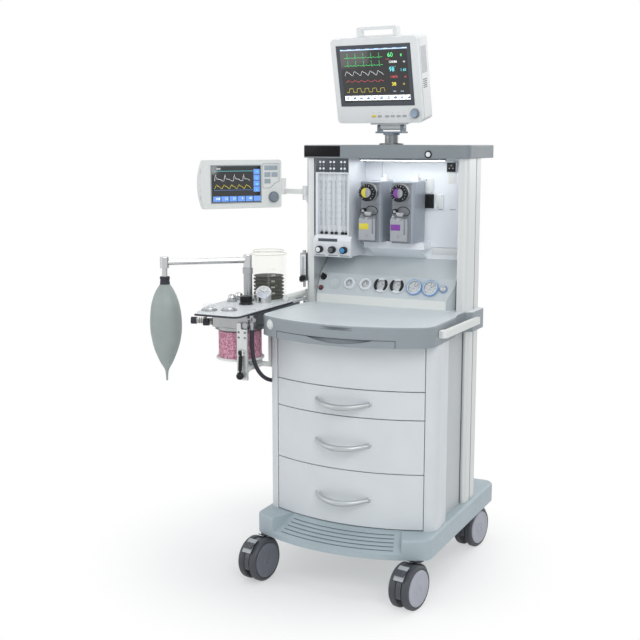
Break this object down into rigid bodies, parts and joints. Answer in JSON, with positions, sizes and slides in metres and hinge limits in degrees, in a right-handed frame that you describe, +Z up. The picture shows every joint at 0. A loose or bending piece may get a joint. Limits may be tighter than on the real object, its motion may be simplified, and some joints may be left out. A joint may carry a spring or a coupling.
{
  "type": "anesthesia machine",
  "caption": "Free-standing anesthesia machine on casters with drawers, vaporizers, gauges, two displays and a side-mounted breathing circuit.",
  "frame": {"origin": "middle of the bounding box at floor level, measured without the breathing hose", "axes": "+Z up, -Y towards the operator, +X to the machine's right as the operator sees it"},
  "size_m": [1.0516, 0.7964, 1.8143],
  "materials": {
    "white_panel": "satin powder coat",
    "blue_grey_moulding": "fine texture",
    "light_grey_moulding": "fine texture",
    "anodised": "brushed, clear anodised",
    "dark_plastic": "matt",
    "caster_grey": "smooth",
    "tyre_grey": "smooth",
    "steel": "polished",
    "clear": "clear",
    "bag_rubber": "matt",
    "black_rubber": "matt",
    "granules": "granular",
    "gauge_white": "printed dial"
  },
  "bodies": {
    "frame": {"base_moulding": "blue_grey_moulding", "cabinet_shell": "white_panel", "drawer_runners": "anodised", "column_left": "anodised", "column_right": "anodised", "top_shelf": "blue_grey_moulding", "back_wall": "white_panel", "work_top": "blue_grey_moulding", "push_rail": "light_grey_moulding", "gauge_console": "light_grey_moulding", "gauges": "gauge_white", "flowmeter_block": "light_grey_moulding", "flowmeter_tubes": "clear", "vaporizer_left": "anodised", "vaporizer_right": "anodised", "auxiliary_flowmeter": "anodised", "monitor_post": "steel", "absorber_bracket": "anodised", "manifold_plate": "white_panel", "breathing_manifold": "steel", "valves_and_gauge": "steel", "bellows": "black_rubber", "bellows_dome": "clear", "canister": "clear", "absorbent": "granules", "canister_clamp": "anodised", "breathing_hose": "black_rubber"},
    "caster_front_left": {"caster_fork_front_left": "caster_grey"},
    "wheels_front_left": {"caster_wheels_front_left": "tyre_grey"},
    "brake_front_left": {"caster_brake_front_left": "caster_grey"},
    "caster_front_right": {"caster_fork_front_right": "caster_grey"},
    "wheels_front_right": {"caster_wheels_front_right": "tyre_grey"},
    "brake_front_right": {"caster_brake_front_right": "caster_grey"},
    "caster_rear_left": {"caster_fork_rear_left": "caster_grey"},
    "wheels_rear_left": {"caster_wheels_rear_left": "tyre_grey"},
    "caster_rear_right": {"caster_fork_rear_right": "caster_grey"},
    "wheels_rear_right": {"caster_wheels_rear_right": "tyre_grey"},
    "drawer_lower": {"drawer_lower": "white_panel"},
    "drawer_middle": {"drawer_middle": "white_panel"},
    "drawer_upper": {"drawer_upper": "white_panel"},
    "writing_tray": {"writing_tray": "blue_grey_moulding"},
    "flush_button": {"flush_button": "dark_plastic"},
    "lamp_switch": {"lamp_switch": "dark_plastic"},
    "selector_switch": {"selector_switch": "dark_plastic"},
    "console_button": {"console_button": "dark_plastic"},
    "flow_knob_left": {"flow_knob_left": "dark_plastic"},
    "flow_knob_middle": {"flow_knob_middle": "dark_plastic"},
    "flow_knob_right": {"flow_knob_right": "dark_plastic"},
    "vaporizer_dial_left": {"vaporizer_dial_left": "anodised"},
    "vaporizer_dial_right": {"vaporizer_dial_right": "anodised"},
    "monitor_head": {"monitor_head": "steel"},
    "monitor": {"monitor_housing": "light_grey_moulding"},
    "monitor_knob": {"monitor_knob": "dark_plastic"},
    "display_arm": {"display_arm": "light_grey_moulding"},
    "display": {"display_housing": "light_grey_moulding"},
    "display_knob": {"display_knob": "dark_plastic"},
    "bag_arm": {"bag_arm": "steel", "breathing_bag": "bag_rubber"},
    "apl_knob": {"apl_knob": "dark_plastic"},
    "clamp_lever": {"clamp_lever": "dark_plastic"}
  },
  "joints": [
    {"name": "swivel_front_left", "type": "hinge", "parent": "frame", "child": "caster_front_left", "pos_m": [-0.06937, -0.28026, 0.144], "axis": [0, 0, 1], "continuous": true},
    {"name": "roll_front_left", "type": "hinge", "parent": "caster_front_left", "child": "wheels_front_left", "pos_m": [-0.07735, -0.32556, 0.07], "axis": [0.9848, -0.1736, 0], "continuous": true},
    {"name": "brake_tab_front_left", "type": "hinge", "parent": "caster_front_left", "child": "brake_front_left", "pos_m": [-0.08186, -0.35113, 0.13425], "axis": [0.9848, -0.1736, 0], "range_deg": [0, 8]},
    {"name": "swivel_front_right", "type": "hinge", "parent": "frame", "child": "caster_front_right", "pos_m": [0.46263, -0.28026, 0.144], "axis": [0, 0, 1], "continuous": true},
    {"name": "roll_front_right", "type": "hinge", "parent": "caster_front_right", "child": "wheels_front_right", "pos_m": [0.45465, -0.32556, 0.07], "axis": [0.9848, -0.1736, 0], "continuous": true},
    {"name": "brake_tab_front_right", "type": "hinge", "parent": "caster_front_right", "child": "brake_front_right", "pos_m": [0.45014, -0.35113, 0.13425], "axis": [0.9848, -0.1736, 0], "range_deg": [0, 8]},
    {"name": "swivel_rear_left", "type": "hinge", "parent": "frame", "child": "caster_rear_left", "pos_m": [-0.06937, 0.32474, 0.144], "axis": [0, 0, 1], "continuous": true},
    {"name": "roll_rear_left", "type": "hinge", "parent": "caster_rear_left", "child": "wheels_rear_left", "pos_m": [-0.07735, 0.27944, 0.07], "axis": [0.9848, -0.1736, 0], "continuous": true},
    {"name": "swivel_rear_right", "type": "hinge", "parent": "frame", "child": "caster_rear_right", "pos_m": [0.46263, 0.32474, 0.144], "axis": [0, 0, 1], "continuous": true},
    {"name": "roll_rear_right", "type": "hinge", "parent": "caster_rear_right", "child": "wheels_rear_right", "pos_m": [0.45465, 0.27944, 0.07], "axis": [0.9848, -0.1736, 0], "continuous": true},
    {"name": "drawer_slide_lower", "type": "slide", "parent": "frame", "child": "drawer_lower", "axis": [0, -1, 0], "range_m": [0, 0.24]},
    {"name": "drawer_slide_middle", "type": "slide", "parent": "frame", "child": "drawer_middle", "axis": [0, -1, 0], "range_m": [0, 0.24]},
    {"name": "drawer_slide_upper", "type": "slide", "parent": "frame", "child": "drawer_upper", "axis": [0, -1, 0], "range_m": [0, 0.24]},
    {"name": "tray_slide", "type": "slide", "parent": "frame", "child": "writing_tray", "axis": [0, -1, 0], "range_m": [0, 0.2]},
    {"name": "flush_press", "type": "slide", "parent": "frame", "child": "flush_button", "axis": [0.4624, 0.8867, 0], "range_m": [0, 0.005], "stiffness_N_per_m": 400},
    {"name": "lamp_press", "type": "slide", "parent": "frame", "child": "lamp_switch", "axis": [0, 1, 0], "range_m": [0, 0.003], "stiffness_N_per_m": 400},
    {"name": "selector_turn", "type": "hinge", "parent": "frame", "child": "selector_switch", "pos_m": [-0.04637, 0.10224, 0.961], "axis": [0, -0.8944, 0.4472], "range_deg": [-90, 0]},
    {"name": "console_press", "type": "slide", "parent": "frame", "child": "console_button", "axis": [0, 0.8944, -0.4472], "range_m": [0, 0.003], "stiffness_N_per_m": 400},
    {"name": "flow_turn_left", "type": "hinge", "parent": "frame", "child": "flow_knob_left", "pos_m": [-0.02737, 0.03374, 1.066], "axis": [0, -1, 0], "range_deg": [0, 720]},
    {"name": "flow_turn_middle", "type": "hinge", "parent": "frame", "child": "flow_knob_middle", "pos_m": [0.02063, 0.03374, 1.066], "axis": [0, -1, 0], "range_deg": [0, 720]},
    {"name": "flow_turn_right", "type": "hinge", "parent": "frame", "child": "flow_knob_right", "pos_m": [0.06413, 0.03374, 1.066], "axis": [0, -1, 0], "range_deg": [0, 720]},
    {"name": "dial_turn_left", "type": "hinge", "parent": "frame", "child": "vaporizer_dial_left", "pos_m": [0.14563, 0.06374, 1.262], "axis": [0, -1, 0], "range_deg": [0, 270]},
    {"name": "dial_turn_right", "type": "hinge", "parent": "frame", "child": "vaporizer_dial_right", "pos_m": [0.26063, 0.06374, 1.262], "axis": [0, -1, 0], "range_deg": [0, 270]},
    {"name": "monitor_pan", "type": "hinge", "parent": "frame", "child": "monitor_head", "pos_m": [0.17063, 0.18374, 1.452], "axis": [0, 0, 1], "range_deg": [-90, 90]},
    {"name": "monitor_tilt", "type": "hinge", "parent": "monitor_head", "child": "monitor", "pos_m": [0.17063, 0.18374, 1.48], "axis": [0.9976, -0.0698, 0], "range_deg": [-20, 8]},
    {"name": "monitor_knob_turn", "type": "hinge", "parent": "monitor", "child": "monitor_knob", "pos_m": [0.27596, 0.13207, 1.52361], "axis": [-0.0681, -0.9739, -0.2164], "continuous": true},
    {"name": "arm_swing", "type": "hinge", "parent": "frame", "child": "display_arm", "pos_m": [-0.11037, 0.09174, 1.262], "axis": [0, 0, 1], "range_deg": [-50, 60]},
    {"name": "display_turn", "type": "hinge", "parent": "display_arm", "child": "display", "pos_m": [-0.21537, 0.11274, 1.262], "axis": [0, 0, 1], "range_deg": [-60, 40]},
    {"name": "display_knob_turn", "type": "hinge", "parent": "display", "child": "display_knob", "pos_m": [-0.22635, 0.06295, 1.239], "axis": [0.788, -0.6157, 0], "continuous": true},
    {"name": "bag_arm_swing", "type": "hinge", "parent": "frame", "child": "bag_arm", "pos_m": [-0.25637, -0.06926, 1.027], "axis": [0, 0, 1], "range_deg": [-95, 10]},
    {"name": "apl_turn", "type": "hinge", "parent": "frame", "child": "apl_knob", "pos_m": [-0.22137, -0.14426, 0.884], "axis": [0, 0, 1], "range_deg": [0, 300]},
    {"name": "lever_lift", "type": "hinge", "parent": "frame", "child": "clamp_lever", "pos_m": [-0.14787, -0.30926, 0.752], "axis": [-1, 0, 0], "range_deg": [0, 95]}
  ]
}
